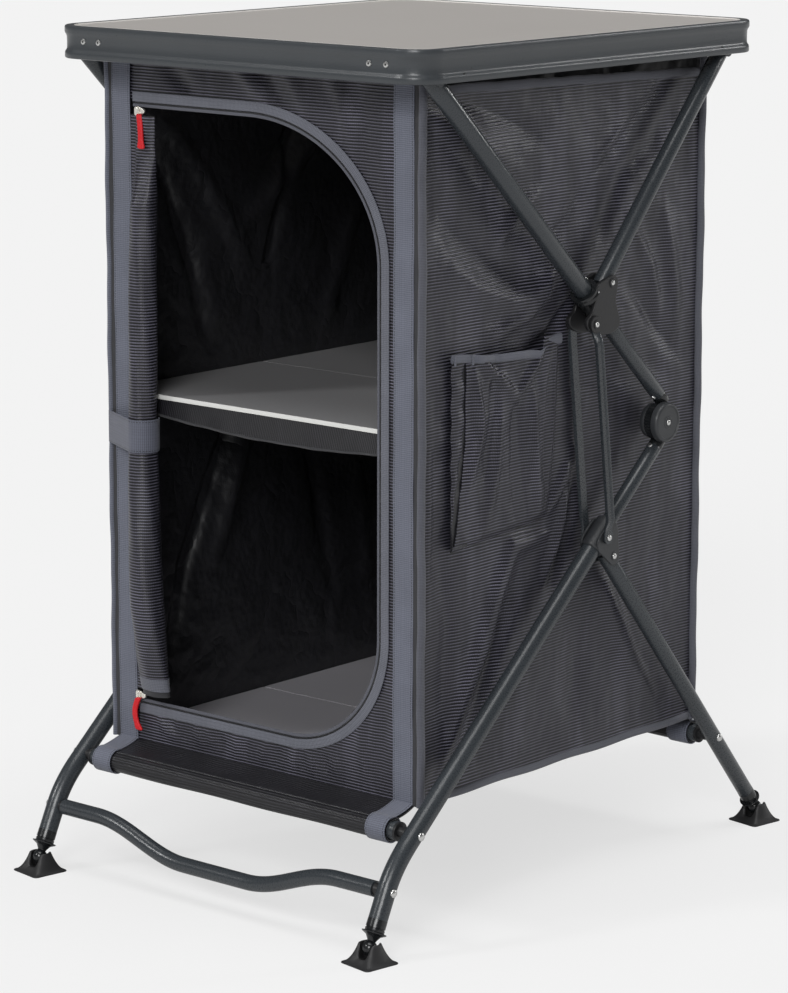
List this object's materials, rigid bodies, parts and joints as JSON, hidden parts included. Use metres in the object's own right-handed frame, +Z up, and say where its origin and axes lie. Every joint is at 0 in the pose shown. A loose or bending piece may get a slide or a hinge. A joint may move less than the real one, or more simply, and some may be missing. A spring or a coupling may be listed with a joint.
{
  "type": "camping cupboard",
  "caption": "Folding camping cupboard: a tabletop on crossed, sliding tube frames, with a hanging fabric body, a middle shelf, a base board and a rolled-up zip door.",
  "frame": {"origin": "on the floor, at the middle of the box round the whole cupboard", "axes": "+Z up, -Y towards the door, +X to the right of someone facing the door"},
  "size_m": [0.533, 0.7296, 0.927],
  "materials": {
    "anthracite": "satin powder coat",
    "laminate": "matte grey laminate",
    "steel": "polished",
    "black_plastic": "satin moulded",
    "fabric": "ribbed woven, matte",
    "webbing": "woven tape, matte",
    "red": "satin",
    "rubber": "matte",
    "board": "matte dark grey laminate"
  },
  "bodies": {
    "tabletop": {"table_panel": "laminate", "table_rim": "anthracite", "front_bracket_left": "anthracite", "front_bracket_right": "anthracite", "rear_bracket_left": "anthracite", "rear_bracket_right": "anthracite", "bag_front": "fabric", "bag_back": "fabric", "bag_left": "fabric", "bag_right": "fabric", "webbing_left": "webbing", "webbing_right": "webbing", "side_pocket": "fabric", "zip_tape": "webbing", "rolled_door": "fabric", "roll_strap": "webbing"},
    "rear_arms": {"rear_arm_left": "anthracite", "rear_arm_right": "anthracite"},
    "hubs": {"hub_left": "black_plastic", "hub_right": "black_plastic"},
    "front_arms": {"front_arm_left": "anthracite", "front_arm_right": "anthracite", "knuckle_upper_left": "black_plastic", "knuckle_upper_right": "black_plastic"},
    "front_legs": {"knuckle_lower_left": "black_plastic", "knuckle_lower_right": "black_plastic", "front_leg_left": "anthracite", "front_leg_right": "anthracite", "leg_bracket_left": "black_plastic", "leg_bracket_right": "black_plastic", "front_bar": "anthracite", "front_hem": "fabric", "wavy_bar": "anthracite", "front_foot_left": "black_plastic", "front_foot_right": "black_plastic"},
    "rear_legs": {"rear_leg_left": "anthracite", "rear_leg_right": "anthracite", "rear_bar": "anthracite", "rear_hem": "fabric", "rear_foot_left": "black_plastic", "rear_foot_right": "black_plastic"},
    "links": {"link_outer_left": "anthracite", "link_outer_right": "anthracite", "link_inner_left": "anthracite", "link_inner_right": "anthracite"},
    "middle_shelf": {"mid_shelf": "board", "shelf_sling": "fabric"},
    "base": {"base_board": "board"},
    "button_left": {"lock_button_left": "steel"},
    "front_pad_left": {"front_pad_left": "rubber"},
    "rear_pad_left": {"rear_pad_left": "rubber"},
    "button_right": {"lock_button_right": "steel"},
    "front_pad_right": {"front_pad_right": "rubber"},
    "rear_pad_right": {"rear_pad_right": "rubber"},
    "stop_top": {"zip_stop_top": "steel"},
    "slider_top": {"zip_slider_top": "steel"},
    "pull_top": {"zip_pull_top": "red"},
    "stop_bottom": {"zip_stop_bottom": "steel"},
    "slider_bottom": {"zip_slider_bottom": "steel"},
    "pull_bottom": {"zip_pull_bottom": "red"}
  },
  "joints": [
    {"name": "fold", "type": "hinge", "parent": "tabletop", "child": "rear_arms", "pos_m": [0, 0.2434, 0.895], "axis": [-1, 0, 0], "range_deg": [0, 46.27], "deforming": ["bag_front", "bag_back", "bag_left", "bag_right", "webbing_left", "webbing_right", "side_pocket", "zip_tape", "rolled_door", "roll_strap"]},
    {"name": "hub_pivot", "type": "hinge", "parent": "rear_arms", "child": "hubs", "pos_m": [0, 0.03584, 0.66284], "axis": [1, 0, 0], "range_deg": [0, 77.88]},
    {"name": "arm_slide", "type": "slide", "parent": "hubs", "child": "front_arms", "axis": [0, 0.7242, -0.6896], "range_m": [0, 0.1876]},
    {"name": "knuckle", "type": "hinge", "parent": "front_arms", "child": "front_legs", "pos_m": [0, 0.13961, 0.49774], "axis": [-1, 0, 0], "range_deg": [0, 66.41]},
    {"name": "rear_leg_pivot", "type": "hinge", "parent": "front_legs", "child": "rear_legs", "pos_m": [0, 0.04788, 0.36374], "axis": [-1, 0, 0], "range_deg": [0, 80.26]},
    {"name": "link_pivot", "type": "hinge", "parent": "front_legs", "child": "links", "pos_m": [0, 0.03326, 0.38679], "axis": [1, 0, 0], "range_deg": [0, 91.76]},
    {"name": "shelf_lift", "type": "slide", "parent": "tabletop", "child": "middle_shelf", "axis": [0, 0, 1], "range_m": [0, 0.2832]},
    {"name": "base_lift", "type": "slide", "parent": "tabletop", "child": "base", "axis": [0, 0, 1], "range_m": [0, 0.5684]},
    {"name": "zip_lift_top", "type": "slide", "parent": "tabletop", "child": "stop_top", "axis": [0, 0, 1], "range_m": [0, 0.0583]},
    {"name": "zip_slide_top", "type": "slide", "parent": "stop_top", "child": "slider_top", "axis": [1, 0, 0], "range_m": [0, 0.155]},
    {"name": "zip_pull_top", "type": "hinge", "parent": "slider_top", "child": "pull_top", "pos_m": [-0.1751, -0.2438, 0.8407], "axis": [-1, 0, 0], "range_deg": [0, 100]},
    {"name": "zip_lift_bottom", "type": "slide", "parent": "tabletop", "child": "stop_bottom", "axis": [0, 0, 1], "range_m": [0, 0.5324]},
    {"name": "zip_slide_bottom", "type": "slide", "parent": "stop_bottom", "child": "slider_bottom", "axis": [1, 0, 0], "range_m": [0, 0.2]},
    {"name": "zip_pull_bottom", "type": "hinge", "parent": "slider_bottom", "child": "pull_bottom", "pos_m": [-0.1771, -0.2438, 0.19564], "axis": [-1, 0, 0], "range_deg": [0, 100]},
    {"name": "lock_button_left", "type": "slide", "parent": "front_arms", "child": "button_left", "axis": [0, -0.6896, -0.7242], "range_m": [0, 0.0025], "stiffness_N_per_m": 400, "springref_m": -0.001},
    {"name": "front_pad_left", "type": "hinge", "parent": "front_legs", "child": "front_pad_left", "pos_m": [-0.2415, -0.3398, 0.0165], "axis": [1, 0, 0], "range_deg": [-12, 12]},
    {"name": "rear_pad_left", "type": "hinge", "parent": "rear_legs", "child": "rear_pad_left", "pos_m": [-0.2415, 0.3398, 0.0165], "axis": [1, 0, 0], "range_deg": [-12, 12]},
    {"name": "lock_button_right", "type": "slide", "parent": "front_arms", "child": "button_right", "axis": [0, -0.6896, -0.7242], "range_m": [0, 0.0025], "stiffness_N_per_m": 400, "springref_m": -0.001},
    {"name": "front_pad_right", "type": "hinge", "parent": "front_legs", "child": "front_pad_right", "pos_m": [0.2415, -0.3398, 0.0165], "axis": [1, 0, 0], "range_deg": [-12, 12]},
    {"name": "rear_pad_right", "type": "hinge", "parent": "rear_legs", "child": "rear_pad_right", "pos_m": [0.2415, 0.3398, 0.0165], "axis": [1, 0, 0], "range_deg": [-12, 12]}
  ],
  "couplings": [
    {"joint": "hub_pivot", "follows": "fold", "ratio": 1.6829},
    {"joint": "arm_slide", "follows": "fold", "m_per_rad": 0.23214},
    {"joint": "knuckle", "follows": "fold", "ratio": 1.4351},
    {"joint": "rear_leg_pivot", "follows": "fold", "ratio": 1.7345},
    {"joint": "link_pivot", "follows": "fold", "ratio": 1.9828},
    {"joint": "shelf_lift", "follows": "fold", "m_per_rad": 0.35055},
    {"joint": "base_lift", "follows": "fold", "m_per_rad": 0.70369},
    {"joint": "zip_lift_top", "follows": "fold", "m_per_rad": 0.072084},
    {"joint": "zip_lift_bottom", "follows": "fold", "m_per_rad": 0.65918}
  ]
}
